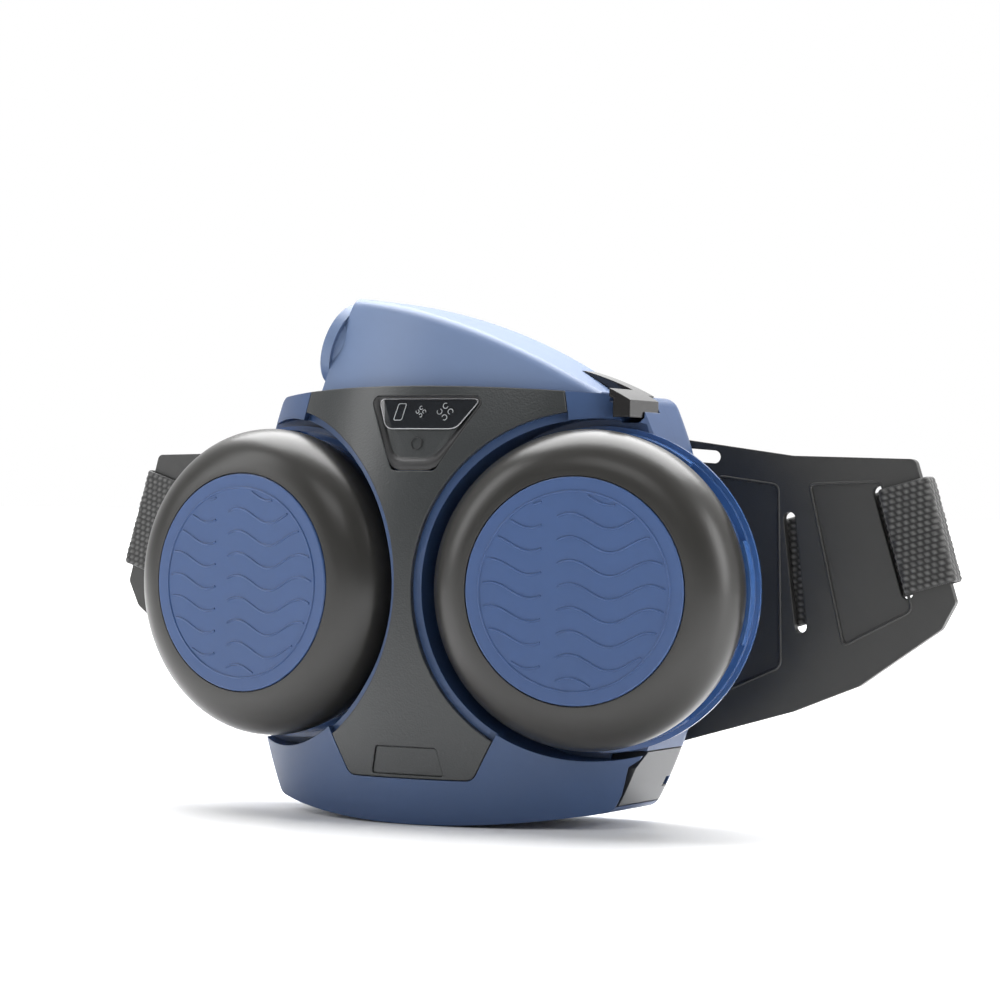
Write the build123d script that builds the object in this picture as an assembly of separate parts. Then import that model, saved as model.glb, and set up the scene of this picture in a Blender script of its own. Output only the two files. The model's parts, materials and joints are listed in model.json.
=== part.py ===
from build123d import *
import os
from math import sin, cos, radians, sqrt

os.makedirs("parts", exist_ok=True)

# A belt-worn fan unit for a powered air respirator. Millimetres, +X to the wearer's
# right as seen from outside, +Y towards the wearer's back, +Z up. The origin is the
# centre of the flat on the belt plate that rests on the wearer, level with the filters.

# Overall sizes
depth = 80.0              # from the belt plate's flat to the front of the cover
half_width = 87.0         # half the housing's width, level with the filters
belt_span = 165.0         # from the centre to the middle of a belt wing's end
bottom_z = -83.5          # lowest point of the housing
top_z = 70.5              # highest point of the housing, under the neck

# Housing
wall = 2.5                # moulded wall of both housing shells
front_wall = 5.0          # the front shell is thicker where the cover is let into it
corner_rise = 6.0         # the bottom edge rises this much from the middle to its corners
top_drop = 3.0            # the top edge falls this much from the middle to its corners
chin_half = 67.0          # half the width at the bottom corners
shoulder_half = 72.0      # half the width at the top corners
corner_round = 5.0        # rounding of the four corners in front view
barrel_round = 110.0      # radius of the front, seen from above
barrel_bow = 350.0        # radius of the front, seen from the side
barrel_z = -8.0           # height where the front is fullest
back_round = 10.0         # rounding round the back of the rear shell
split_depth = 24.0        # the two shells meet this far in front of the belt plate's flat

# Belt plate and webbing
plate = 3.0               # thickness of the belt plate
flat_half = 60.0          # half the width of the plate's flat middle
wing_round = 684.0        # radius of the wings, which curve round the waist
strap_tilt = 16.5         # lean of the outer slots, degrees
slot_half = 20.5          # half the length of an outer slot
slot_gap = 4.6            # width of an outer slot
end_bar = 15.5            # from the outer slot's middle to the wing's end
web_width = 38.0          # webbing width
web = 1.7                 # webbing thickness
web_tail = 50.0           # from the outer slot to the webbing's inner end
strap_z = 22.0            # height of the webbing at the wing's end
panel_deep = 0.8          # depth of the shallow panels in each wing

# Filters, one each side, screwed in along an axis that leans outwards
splay = 8.3               # lean of each filter axis, degrees
filter_x = 66.55          # from the middle to the centre of each filter's front
disc_r = 39.0             # coloured disc on the filter's lid
lid_r = 55.5              # largest radius of the lid
lid_wall = 2.0
lid_deep = 17.0           # depth of the lid's largest radius behind the disc
lid_edge = 25.8           # depth of the lid's rear edge
canister_r = 50.4
canister_wall = 1.8
canister_top = 12.0       # depth of the canister's front edge
ring_r = 55.2             # adapter's ring
ring_notch = 2.4          # how far the ring's notches are let in
ring_top = 26.4           # depth of the ring's front edge
flange_r = 57.0
flange_top = 33.0
adapter_floor = 34.0      # depth of the adapter's inner floor
adapter_back = 36.0       # depth of the adapter's rear face
neck_r = 17.0             # adapter's screw neck
neck_wall = 2.4
neck_long = 8.0
notches = 5

# Wells in the front shell, round the filters
well_gap = 2.5            # clear all round the adapter's flange
well_wall = 2.0
well_floor = 37.0         # depth of the well's floor
passage_wall = 2.5        # wall of the passage that takes the adapter's neck
cutout_r = 62.5           # cover's cut-out round each filter
cutout_wall = 1.5
cutout_deep = 12.0
fit = 0.4                 # running clearance

# Cover, its display and its badge
cover = 2.5
cover_low_z = -67.0
cover_low_half = 24.5
cover_hip_z = -51.0
cover_hip_half = 33.0
seam_half = 51.0          # half the cover's width at the top
seam = 0.35               # open seam between the cover and the housing
display_deep = 1.6        # how far the display window is let in
display = 2.0             # thickness of the window
badge_half = 14.5
badge_low = -66.0
badge_high = -56.0
badge_deep = 1.2

# Outlet neck and its hose socket
apex_x = -39.0
apex_z = 103.4
neck_foot_x = -50.5       # where the neck's end face meets the housing
neck_foot_z = 68.0
neck_drop = 11.4          # the neck's top has fallen this much near the middle, at x 13
neck_solid_x = 40.0       # past here the neck is solid, to carry the control
neck_front = 5.0          # the neck stands this far behind the cover's front
neck_back_y = -17.5
neck_shell = 2.2
neck_edge = 5.0           # rounding of the neck's long edges
socket_r = 15.5
neck_mid_y = -38.5        # the hose socket's centre is this far back
bore_r = 12.5
socket_long = 4.0         # its collar stands this far out
socket_wall = 1.2
socket_in = 8.0           # its sleeve reaches this far into the neck
groove_near = 1.0         # the seal's groove in the bore, from here
groove_far = 2.6          # to here
socket_up = 18.5          # from the neck's foot to the socket's centre, along the end face

# Battery
cell_r = 8.25
cell_long = 62.0
case_wall = 1.2
case_gap = 0.5            # clear all round the case in its bay
cell_z = -65.95           # height of the cells' centres
cell_back = 15.7          # rear row of cells, in front of the belt plate's flat
cap_front_y = -45.0
cap_gap = 2.0             # wide gap at the cap's front edge
cap_corner = 5.5          # the cap's top front corner is cut back this much
cap_end = 3.0             # the cap starts this far inside the chin's corner

# Fan
scroll_gap = 1.73         # clear between the fan casing and the filters' passages
scroll_wall = 1.6
scroll_front_y = -41.0
scroll_back_y = -12.0
inlet_r = 18.0
impeller_gap = 7.0        # from the impeller's rim to the outside of the fan casing
blades = 11
shaft_r = 1.5
bearing_r = 3.6
motor_r = 16.0
duct_top = 62.0           # height where the duct meets the housing's top
fan_back = -17.0          # rear face of the impeller

# Controls
board_y = -62.0           # front face of the control board
board_z = 56.0            # height of its middle
board_half = 25.0
board = 1.6               # thickness of the board
board_screw_x = 20.0      # the board's screws, left and right of the middle
button_front = -52.5      # the control's front face, behind the housing's front wall
button_mid = -33.0        # front of the tongue on the neck
button_corner = -29.0     # rear of the block on the side face
button_tip = 46.5         # the tongue starts here, measured from the middle
button_proud = 2.0        # the block stands this far out from the side face
button_low = 7.5          # and reaches this far below the shoulder
button_wrap = 6.0         # the block starts this far inside the side face
button_lap = 4.0          # the tongue and the block overlap this much
press_travel = 1.2
latch_travel = 2.5

filter_z = 0.0
barrel_y = -depth + barrel_round
back_y = -plate
split_y = -split_depth
case_r = cell_r + case_wall
row = 2 * cell_r + 0.4    # from one row of cells to the next
cap_back_y = case_r - cell_back + 0.3        # the cap reaches past the case's back
cap_x = chin_half - cap_end                  # inner face of the battery's end cap
case_long = 2 * case_wall + 2 * cell_long + 1.0
press = Vector(-0.6, 0, -0.8)                # the control is pressed along this line
neck_mid = (13, apex_z - neck_drop)
button_back = split_y - fit                  # the tongue stops at the housing's split
neck_end = (shoulder_half - 13, top_z - 1.5)
lid_seat = 2.1                               # depth of the disc's seat in the lid
lid_tuck = 1.9                               # the lid's rear edge is this much smaller
well_r = flange_r + well_gap
passage_x = filter_x - (well_floor + neck_long / 2) * sin(radians(splay))
scroll_r = round(passage_x - neck_r - fit - passage_wall - scroll_gap, 1)
impeller_r = scroll_r - impeller_gap
far = 400.0               # larger than the unit


def prism(outline, front, back):
    """An outline drawn in X and Z, made solid between two depths."""
    return extrude(Plane.XZ.offset(-back) * outline, amount=back - front)


def block(x0, x1, y0, y1, z0, z1):
    return Pos((x0 + x1) / 2, (y0 + y1) / 2, (z0 + z1) / 2) * Box(x1 - x0, y1 - y0, z1 - z0)


def rod(x, z, r, front, back):
    """A round bar along Y."""
    return prism(Pos(x, z) * Circle(r), front, back)


def tube(x, z, r, bore, front, back):
    return rod(x, z, r, front, back) - rod(x, z, bore, front, back)


def lathe(outline):
    """An outline drawn as radius and height, turned about Z."""
    return revolve(Plane.XZ * outline, Axis.Z)


def disc(r, low, high):
    return Pos(0, 0, (low + high) / 2) * Cylinder(r, high - low)


def ring(r, bore, low, high):
    return disc(r, low, high) - disc(bore, low - 1, high + 1)


def on_filter(part):
    """Puts a piece, drawn with its front at height 0, on the right filter's axis."""
    lean = radians(splay)
    seat = Plane(origin=(filter_x, -depth, filter_z), x_dir=(cos(lean), sin(lean), 0),
                 z_dir=(sin(lean), -cos(lean), 0))
    return seat * part


def both(part):
    return part + mirror(part, Plane.YZ)


def screw(head_r, head, shank_r, length):
    """Head's outer face at 0, shank along -Z."""
    return disc(head_r, -head, 0) + disc(shank_r, -length, -head) - disc(head_r / 2, -head / 2, 1)


def screws_along_y(places, head_y, direction, *size):
    """One screw at each (x, z); direction 1 drives them towards -Y."""
    seat = Plane(origin=(0, head_y, 0), x_dir=(1, 0, 0), z_dir=(0, direction, 0))
    return [Pos(x, 0, z) * (seat * screw(*size)) for x, z in places]


def save(name, part):
    solids = part if isinstance(part, list) else [part]
    flat = [s for p in solids for s in p.solids()]
    export_step(Compound(flat) if len(flat) > 1 else flat[0], f"parts/{name}.step")


# ---------------------------------------------------------------- housing shapes

def body_outline(inset):
    """Front view of the housing, or of a line inside it: four large arcs, rounded corners."""
    chin_x, chin_z = chin_half - inset, bottom_z + corner_rise + inset
    shoulder_x, shoulder_z = shoulder_half - inset, top_z - top_drop - inset
    side_x, side_z = half_width - inset, (chin_z + shoulder_z) / 2
    low = ThreePointArc((-chin_x, chin_z), (0, bottom_z + inset), (chin_x, chin_z))
    right = ThreePointArc((chin_x, chin_z), (side_x, side_z), (shoulder_x, shoulder_z))
    high = ThreePointArc((shoulder_x, shoulder_z), (0, top_z - inset), (-shoulder_x, shoulder_z))
    left = ThreePointArc((-shoulder_x, shoulder_z), (-side_x, side_z), (-chin_x, chin_z))
    face = make_face([low, right, high, left])
    return fillet(face.vertices(), corner_round - inset)


def barrel(inset):
    """The bowed front: a barrel about an upright axis inside the housing."""
    r = barrel_round - inset
    bow = barrel_bow - inset
    reach = 130.0
    end_r = r - bow + sqrt(bow ** 2 - reach ** 2)
    low, high = barrel_z - reach, barrel_z + reach
    bulge = ThreePointArc((end_r, low), (r, barrel_z), (end_r, high))
    rest = Polyline((end_r, high), (0, high), (0, low), (end_r, low))
    return Pos(0, barrel_y, 0) * lathe(make_face([bulge, rest]))


def body_solid(inset, front_inset):
    """The housing's outer shape, or its cavity when the insets are the walls."""
    slab = prism(body_outline(inset), -depth - 20, back_y - inset)
    back = slab.faces().sort_by(Axis.Y)[-1]
    slab = fillet(back.edges(), back_round - inset)
    return slab & barrel(front_inset)


def cover_region():
    """Front view of the cover before the filters' cut-outs."""
    shoulder_z = top_z - top_drop / 2
    side = [(seam_half, top_z + 20), (seam_half, shoulder_z), (seam_half + 4, 50),
            (cover_hip_half, cover_hip_z), (cover_low_half, cover_low_z)]
    points = side + [(-x, z) for x, z in reversed(side)]
    face = make_face(Polyline(*points, close=True))
    return fillet(face.vertices().group_by(Axis.Y)[0], 4)


def display_outline():
    """The V-shaped display, wide at the top, its right side longer than its left."""
    face = make_face(Polyline((-19, 67), (27, 67), (10, 40.5), (-7, 40.5), close=True))
    return fillet(face.vertices(), 2.5)


def badge_outline():
    low, high = badge_low, badge_high
    face = make_face(Polyline((-badge_half, low), (badge_half, low), (badge_half - 2.5, high),
                              (2.5 - badge_half, high), close=True))
    return fillet(face.vertices(), 1)


def well_solid():
    """Walls and floor of the two filter wells, with the web between them."""
    bowl = both(on_filter(disc(well_r + well_wall, -well_floor - well_wall, 30)))
    socket = both(on_filter(disc(neck_r + fit + passage_wall, -well_floor - neck_long, -well_floor)))
    web_block = block(-5, 5, -depth - 5, -depth + well_floor, -32, 32)
    return bowl + socket + web_block


def well_space():
    """What the wells leave open."""
    bowl = on_filter(disc(well_r, -well_floor, 40))
    mouth = on_filter(disc(cutout_r + cutout_wall, -cutout_deep, 40))
    passage = on_filter(disc(neck_r + fit, -well_floor - 20, 0))
    return both(bowl + mouth + passage)


def along_x(outline, x0, x1):
    """An outline drawn in Y and Z, made solid between two places across the unit."""
    return extrude(Plane.YZ.offset(x0) * outline, amount=x1 - x0)


def case_outline(grow):
    """Section of the battery case: two rows of round cells side by side."""
    return Pos(-cell_back - row / 2, cell_z) * SlotCenterToCenter(row, 2 * (case_r + grow))


def cap_outline(front_grow, grow):
    """Section of the battery's end cap, with its top front corner cut away."""
    front = cap_front_y - front_grow
    back = cap_back_y + grow
    low = cell_z - case_r - grow
    high = cell_z + case_r + grow
    cut = cap_corner
    points = [(front, low), (front, high - cut), (front + cut, high), (back, high), (back, low)]
    return make_face(Polyline(*points, close=True))




def control_outline():
    """The control in front view: a tongue on the neck, and a block on the side face."""
    side, top = shoulder_half, top_z - top_drop
    out_x, low_z = side + button_proud, top - button_low
    tip = (button_tip, neck_top(button_tip) + 0.4)
    crown = (side - button_wrap, top + 2.6)
    over = ThreePointArc(tip, crown, (out_x, top - 1.5))
    foot = [(out_x, top - 1.5), (out_x, low_z), (side - 4.5, low_z), (side - 4.5, top - 1)]
    under = Polyline(*foot, (button_tip, tip[1] - 1.8), tip)
    return make_face([over, under])


def control_solid(grow):
    """The control, grown by a gap on every side."""
    outline = offset(control_outline(), grow) if grow else control_outline()
    split_x = shoulder_half - button_wrap
    tongue = prism(outline, button_mid - grow, button_back + grow)
    tongue &= block(-far, split_x + button_lap + grow, -far, far, -far, far)
    corner = prism(outline, button_front - grow, button_corner + grow)
    corner &= block(split_x - grow, far, -far, far, -far, far)
    return tongue + corner


def control_space():
    """Room for the control over its whole travel."""
    grown = control_solid(fit)
    space = grown
    for share in (0.25, 0.5, 0.75, 1):
        space += Location(press * (press_travel + fit) * share) * grown
    return space


def screw_places():
    """The six housing screws, as x and z."""
    side = half_width - 10
    return [(-side, 24), (side, 24), (-side, -24), (side, -24), (-30, -49), (30, -49)]


def halves():
    """The housing's wall, its cavity's fittings and the room left for what it holds."""
    shell = body_solid(0, 0)
    cavity = body_solid(wall, front_wall)
    roof_z = cell_z + case_r + 2
    fittings = block(-far, far, -far, far, roof_z, roof_z + 2)
    for x in (-40, 0, 40):
        fittings += block(x - 1, x + 1, -far, far, -far, roof_z + 1)
    behind_wells = both(on_filter(disc(far, -far, -well_floor)))
    for x, z in screw_places():
        fittings += rod(x, z, 4, -far, 0) & behind_wells
    seat_z = top_z - top_drop - button_low - 5.5
    fittings += block(shoulder_half - 19, far, button_front - 4, button_back + 3, seat_z, far)
    shell = shell - cavity + (fittings & shell)
    battery = along_x(case_outline(case_gap), cap_x - case_long - case_gap, cap_x + 1)
    battery += along_x(cap_outline(cap_gap, fit), cap_x - fit, far)
    return shell, battery


def front_housing(shell, battery):
    front_half = block(-far, far, -far, split_y, -far, far)
    posts = [rod(x, board_z, 2.5, -far, board_y) for x in (-board_screw_x, board_screw_x)]
    body = (shell + ((well_solid() + posts[0] + posts[1]) & body_solid(0, 0))) & front_half
    body -= well_space()
    body -= prism(offset(cover_region(), seam), -far, 0) & (barrel(-20) - barrel(cover))
    body -= prism(display_outline(), -far, 0) & (barrel(0) - barrel(display_deep + display))
    body -= prism(offset(display_outline(), -4), -far, board_y)
    body -= battery
    body -= control_space()
    body -= outlet_hole(0)
    for x, z in screw_places():
        body -= rod(x, z, 1.4, split_y - 9, split_y + 1)
    for x in (-board_screw_x, board_screw_x):
        body -= rod(x, board_z, 0.9, board_y - 6, board_y + 1)
    return body


def outlet_hole(inset):
    """The air's way out of the housing's top, into the neck."""
    return block(-38 + inset, -13 - inset, -40 + inset, split_y - 2 - inset, 45, far)


def rear_housing(shell, battery):
    body = shell & block(-far, far, split_y, far, -far, far)
    body -= battery
    body -= seal_line(split_y, split_y + 1)
    for x, z in screw_places():
        body -= rod(x, z, 1.6, split_y - 1, 1)
        body -= rod(x, z, 3.4, back_y - 2.2, 1)
    for x, z in belt_screw_places():
        body += rod(x, z, 4, back_y - 7, back_y - 1)
        body -= rod(x, z, 1.4, back_y - 6, 1)
    body -= block(cap_x - 2, far, cap_back_y - 1, 0, cell_z - 5.5, cell_z + 5.5)
    return body


def seal_line(front, back):
    """The cord seal in the joint between the two shells, clear of the battery's way in."""
    loop = prism(body_outline(0.8) - body_outline(1.8), front, back)
    return loop - block(cap_x - 2, far, -far, far, -far, cell_z + case_r + 3)


def belt_screw_places():
    return [(-34, 26), (34, 26), (-34, -26), (34, -26)]


def front_cover():
    region = prism(cover_region(), -far, 0)
    skin = region & (body_solid(0, 0) - barrel(cover))
    skirt = both(on_filter(disc(cutout_r + cutout_wall, -cutout_deep, 40)))
    rim = region & body_solid(0, 0) & skirt
    body = skin + rim
    body -= both(on_filter(disc(cutout_r, -cutout_deep - 20, 60)))
    body -= prism(display_outline(), -far, 0)
    body -= prism(badge_outline(), -far, 0) & (barrel(-20) - barrel(badge_deep))
    return body


def display_window():
    outline = offset(display_outline(), -0.15)
    return prism(outline, -far, 0) & (barrel(display_deep) - barrel(display_deep + display))


def badge():
    outline = offset(badge_outline(), -0.15)
    return prism(outline, -far, 0) & (barrel(0.5) - barrel(badge_deep))


# ---------------------------------------------------------------- outlet neck

def neck_top(x):
    """Height of the neck's top edge, an arc through three points."""
    line = ThreePointArc((apex_x, apex_z), neck_mid, neck_end)
    cross = line & Line((x, 0), (x, 2 * apex_z))
    return cross.vertices()[0].Y if hasattr(cross, "vertices") else cross.Y


def neck_outline(inset):
    """Front view of the neck: a slanted end face and a top that falls to the right."""
    foot = top_z - 14
    lean = (apex_x - neck_foot_x) / (apex_z - neck_foot_z)
    low_x = apex_x - lean * (apex_z - foot)
    end_x, end_z = neck_end
    top = ThreePointArc((apex_x, apex_z), neck_mid, neck_end)
    rest = Polyline(neck_end, (end_x, foot), (low_x, foot), (apex_x, apex_z))
    face = make_face([top, rest])
    return offset(face, -inset) if inset > 0 else face


def neck_solid(inset):
    front = barrel(neck_front + inset)
    solid = prism(neck_outline(inset), -far, neck_back_y - inset) & front
    long_edges = [e for e in solid.edges() if e.length > 80 and e.center().Z > top_z + 5]
    return fillet(long_edges, neck_edge - inset)


def on_socket(part):
    """Puts a piece on the axis of the neck's end face, which looks out and up."""
    rise = apex_z - neck_foot_z
    run = apex_x - neck_foot_x
    slope = sqrt(rise ** 2 + run ** 2)
    along = (run / slope, 0, rise / slope)
    centre = (neck_foot_x + along[0] * socket_up, neck_mid_y, neck_foot_z + along[2] * socket_up)
    return Plane(origin=centre, x_dir=along, z_dir=(-along[2], 0, along[0])) * part


def outlet_neck():
    body = neck_solid(0) - (neck_solid(neck_shell) & block(-far, neck_solid_x, -far, far, -far, far))
    body += on_socket(disc(socket_r + 1.5, -6, -0.2)) & neck_solid(0)
    body -= on_socket(disc(bore_r + socket_wall, -20, 20))
    body -= body_solid(0, 0)
    body -= control_space()
    return body


def hose_socket():
    collar = ring(socket_r, bore_r, 0, socket_long)
    sleeve = ring(bore_r + socket_wall, bore_r, -socket_in, 0)
    return on_socket(collar + sleeve - ring(bore_r + 1.1, bore_r - 1, groove_near, groove_far))


def socket_seal():
    return on_socket(ring(bore_r + 1.1, bore_r, groove_near, groove_far))


# ---------------------------------------------------------------- filters

def quarter(r0, z0, r1, z1):
    """A quarter round from its crown at (r0, z0) out to its side at (r1, z1)."""
    k = sqrt(0.5)
    return ThreePointArc((r0, z0), (r0 + (r1 - r0) * k, z1 + (z0 - z1) * k), (r1, z1))


def tuck_in(r0, z0, r1, z1):
    """The lid's side, curving gently in below its widest place."""
    return ThreePointArc((r0, z0), (r0 + (r1 - r0) * 0.28, (z0 + z1) / 2), (r1, z1))


def filter_lid():
    rim = disc_r + fit
    inner = lid_r - lid_wall
    under = -lid_seat - lid_wall
    edge = -lid_edge
    outline = [Polyline((0, under), (0, -lid_seat), (rim, -lid_seat), (rim, -fit)),
               quarter(rim, -fit, lid_r, -lid_deep),
               tuck_in(lid_r, -lid_deep, lid_r - lid_tuck, edge),
               Line((lid_r - lid_tuck, edge), (inner - lid_tuck, edge)),
               tuck_in(inner, -lid_deep, inner - lid_tuck, edge),
               quarter(rim, under, inner, -lid_deep),
               Line((rim, under), (0, under))]
    return lathe(make_face(outline))


def lid_disc():
    body = disc(disc_r, -lid_seat, 0)
    return fillet(body.edges().group_by(Axis.Z)[-1], 0.5)


def prefilter():
    return disc(disc_r, -lid_seat - lid_wall - 4, -lid_seat - lid_wall)


def filter_grille():
    """A spoked guard across the front of the canister."""
    r = canister_r - canister_wall
    body = ring(r, r - 3, -canister_top - 1.5, -canister_top)
    for hoop in (8, 20, 32):
        body += ring(hoop, hoop - 2, -canister_top - 1.5, -canister_top)
    spoke = Pos(r / 2, 0, -canister_top - 0.75) * Box(r - 2, 1.6, 1.5)
    for turn in range(8):
        body += Rot(0, 0, 45 * turn + 10) * spoke
    return body


def filter_canister():
    floor = -adapter_floor
    body = disc(canister_r, floor, -canister_top)
    body -= disc(canister_r - canister_wall, floor + canister_wall, 1)
    return body - disc(neck_r - neck_wall, floor - 1, 1)


def filter_media():
    """The pleated particle filter and its sealing rim."""
    floor = -adapter_floor + canister_wall
    r = canister_r - canister_wall
    pleats = 48
    body = disc(r - 2.5, floor, -canister_top - 4)
    for k in range(pleats):
        turn = Rot(0, 0, 360 / pleats * k)
        body -= turn * (Pos(r / 2 + 4, 0, -canister_top - 4) * Box(r - 14, 1.0, 3))
    return body + ring(r, r - 2.5, floor, -canister_top - 3)


def filter_adapter():
    back, floor, top = -adapter_back, -adapter_floor, -ring_top
    body = disc(ring_r, back, top) - disc(canister_r + 0.6, floor, 1)
    body += disc(flange_r, -flange_top - 1.6, -flange_top) - disc(ring_r - 1, -far, 1)
    sector = 360 / notches
    notch = ring(flange_r + 5, ring_r - ring_notch, -flange_top + 1.4, 1)
    edge = far * sin(radians(sector / 4))
    wedge = make_face(Polyline((0, 0), (far, -edge), (far, edge), close=True))
    for k in range(notches):
        body -= notch & extrude(Rot(0, 0, sector * (k + 0.5)) * wedge, amount=-60)
    body += disc(neck_r, back - neck_long, back)
    return body - disc(neck_r - neck_wall, -far, floor + 1)


def filter_seal():
    return ring(neck_r + 5, neck_r + 0.3, -adapter_back - 0.7, -adapter_back)


# ---------------------------------------------------------------- battery

def battery_case():
    left = cap_x - case_long
    body = along_x(case_outline(0), left, cap_x)
    body -= along_x(case_outline(-case_wall), left + case_wall, cap_x + 1)
    return body - [terminal(y) for y in terminal_places()]


def terminal_places():
    mid = -cell_back - row / 2
    return [mid - 6, mid + 6]


def terminal(y):
    left = cap_x - case_long
    return block(left, left + case_wall, y - 2, y + 2, cell_z - 3, cell_z + 3)


def battery_terminals():
    return [terminal(y) for y in terminal_places()]


def battery_contacts():
    """Sprung blades at the closed end of the bay."""
    left = cap_x - case_long
    blade = 2.2
    return [block(left - blade - 0.3, left - 0.3, y - 1.5, y + 1.5, cell_z - 2.5, cell_z + 2.5)
            for y in terminal_places()]


def battery_cells():
    cells = []
    for k in range(2):
        for back in (cell_back, cell_back + row):
            start = cap_x - case_long + case_wall + 0.3 + k * (cell_long + 0.3)
            cells.append(along_x(Pos(-back, cell_z) * Circle(cell_r - 0.1), start, start + cell_long))
    return cells


def latch_block(grow, travel):
    return block(cap_x + 2 - grow, cap_x + 8 + grow, cap_back_y - 6 - grow - travel,
                 cap_back_y + 1.5 + grow, cell_z - 4 - grow, cell_z + 4 + grow)


def battery_cap():
    body = along_x(cap_outline(0, 0), cap_x, far) & body_solid(0, 0)
    return body - latch_block(fit, latch_travel)


def battery_latch():
    body = latch_block(0, 0)
    return fillet(body.edges().group_by(Axis.Y)[-1], 1) & body_solid(0, 0)


# ---------------------------------------------------------------- fan

def scroll_shape(inset, top):
    """The fan's round casing and the duct that leaves it at its left."""
    front, back = scroll_front_y + inset, scroll_back_y - inset
    r = scroll_r - inset
    return rod(0, 0, r, front, back) + block(-r, -11 - inset, front, back, 0, top)


def fan_scroll():
    body = scroll_shape(0, duct_top) - scroll_shape(scroll_wall, duct_top + 1)
    body -= rod(0, 0, inlet_r, scroll_front_y - 1, scroll_front_y + 3)
    return body - rod(0, 0, motor_r, scroll_back_y - 3, scroll_back_y + 1)


def duct_gasket(cavity):
    r = scroll_r
    inner = block(scroll_wall - r, -11 - scroll_wall, scroll_front_y + scroll_wall,
                  scroll_back_y - scroll_wall, duct_top - 1, far)
    outer = block(-r, -11, scroll_front_y, scroll_back_y, duct_top, far)
    return (outer - inner) & cavity


def impeller():
    front = scroll_front_y + 4
    body = rod(0, 0, impeller_r, fan_back - 1.5, fan_back)
    body += rod(0, 0, 5, fan_back - 12, fan_back)
    blade = block(inlet_r - 3, impeller_r - 0.2, front, fan_back - 1, -0.7, 0.7)
    for k in range(blades):
        tilt = Rot(0, 360 / blades * k, 0) * Pos(0, 0, 5)
        body += tilt * blade
    body += tube(0, 0, impeller_r, inlet_r, front - 1, front + 0.2)
    return body - rod(0, 0, shaft_r, -far, far)


def fan_shaft():
    return rod(0, 0, shaft_r, fan_back - 12, back_y - wall - 0.6)


def rotor_bell():
    r = motor_r - 1.2
    cup = rod(0, 0, r, fan_back, fan_back + 9) - rod(0, 0, r - 1.2, fan_back + 1.4, far)
    return cup - rod(0, 0, shaft_r, -far, far)


def magnet_ring():
    r = motor_r - 2.4
    return tube(0, 0, r, r - 1, fan_back + 1.8, fan_back + 8.6)


def stator():
    r = motor_r - 3.8
    core = tube(0, 0, r, bearing_r + 1.4, fan_back + 3, fan_back + 8.4)
    for k in range(9):
        core -= Rot(0, 40 * k, 0) * block(bearing_r + 3, r - 1, -far, far, -1, 1)
    return core


def motor_base():
    back = back_y - wall
    body = rod(0, 0, motor_r + 2, back - 1.5, back)
    body += rod(0, 0, bearing_r + 1.4, fan_back + 2.4, back)
    return body - rod(0, 0, bearing_r, fan_back, back + 1)


def bearings():
    back = back_y - wall
    bore = shaft_r + 0.03
    return [tube(0, 0, bearing_r, bore, fan_back + 2.4, fan_back + 4.9),
            tube(0, 0, bearing_r, bore, back - 3.1, back - 0.6)]


# ---------------------------------------------------------------- controls

def control_board():
    body = block(-board_half, board_half, board_y, board_y + board, board_z - 6, board_z + 6)
    for x in (-board_screw_x, board_screw_x):
        body -= rod(x, board_z, 1.1, board_y - 1, board_y + 2)
    return body


def light_guides():
    front = barrel(display_deep + display)
    return [rod(x, board_z + 3, 1.6, -far, board_y) & front for x in (-8, 3, 14)]


def control_button():
    return control_solid(0)


# ---------------------------------------------------------------- belt

def plate_layer(front, back):
    """A sheet between two depths, flat in the middle and curved round the waist."""
    sheet = block(-flat_half, flat_half, front, back, -far, far)
    curve = Cylinder(wing_round - front, far) - Cylinder(wing_round - back, far)
    wing = (Pos(flat_half, wing_round, 0) * curve) & block(flat_half, far, -far, wing_round / 4, -far, far)
    return sheet + both(wing)


def along_strap(part):
    """Puts an outline, drawn along and across the strap from the outer slot, in place."""
    lean = radians(strap_tilt)
    mid = (belt_span - end_bar * cos(lean), strap_z - end_bar * sin(lean))
    return Pos(mid[0], mid[1]) * (Rot(0, 0, strap_tilt) * part)


def wing_outline():
    lean = radians(strap_tilt)
    half = slot_half + 5.5
    top = (belt_span - half * sin(lean), strap_z + half * cos(lean))
    low = (belt_span + half * sin(lean), strap_z - half * cos(lean))
    points = [(0, 54.8), (62, 54.8), ((belt_span + 62) / 2, 47.8), top, low, (belt_span + 2.5, -12.5),
              (belt_span - 26, -33), ((belt_span + 64) / 2, -43), (64, -57.7), (0, -57.7)]
    face = make_face(Polyline(*points, close=True))
    return fillet([v for v in face.vertices() if v.X > belt_span - 12], 2.5)


def belt_plate():
    slots = along_strap(SlotOverall(2 * slot_half, slot_gap, rotation=90))
    slots += Pos(belt_span - 50, 6.5) * SlotOverall(43, 4.4, rotation=97)
    slots += Pos(78.5, 47.6) * SlotOverall(16, 4.6, rotation=-4)
    outer = wing_panel(belt_span, (-45.2, 37.8), (-19.2, 39.1), (-7.8, -6.2), (-32.2, -19.2))
    inner = wing_panel(belt_span - 50, (-29.5, 40.4), (-6.6, 37.4), (-5, -27.2), (-25.3, -36.3))
    outline = wing_outline() - slots
    body = both(prism(outline, -far, far)) & plate_layer(-plate, 0)
    for x, z in belt_screw_places():
        body -= rod(x, z, 1.6, -far, far) + rod(x, z, 3.4, -1.9, far)
    recess = (prism(outer, -far, far) + prism(inner, -far, far)) & plate_layer(-plate - 1, panel_deep - plate)
    return body - both(recess)


def wing_panel(from_x, *corners):
    """A shallow panel with four corners, each measured from a line across the wing."""
    face = make_face(Polyline(*[(from_x + x, z) for x, z in corners], close=True))
    return fillet(face.vertices(), 2.5)


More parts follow.
